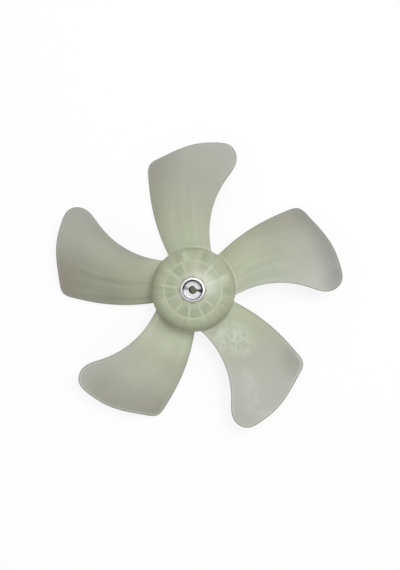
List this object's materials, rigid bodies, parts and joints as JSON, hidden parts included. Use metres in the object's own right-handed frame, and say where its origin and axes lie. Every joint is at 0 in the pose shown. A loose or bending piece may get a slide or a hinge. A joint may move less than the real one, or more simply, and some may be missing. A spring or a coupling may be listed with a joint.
{
  "type": "axial fan impeller",
  "caption": "Axial fan impeller with broad forward-swept blades round a ribbed, domed hub, moulded over a turned metal insert with a D-shaped shaft bore and a nut recess.",
  "frame": {"origin": "on the axis of rotation, at the insert's rear face, where the motor shaft's shoulder seats", "axes": "+Z along the axis of rotation, out of the hub's domed nose towards the inlet side"},
  "size_m": [0.2889, 0.2857, 0.05],
  "materials": {
    "fan_plastic": "satin, slightly see-through natural plastic",
    "insert_metal": "turned"
  },
  "bodies": {
    "root": {"fan_moulding": "fan_plastic", "shaft_insert": "insert_metal"}
  },
  "joints": []
}
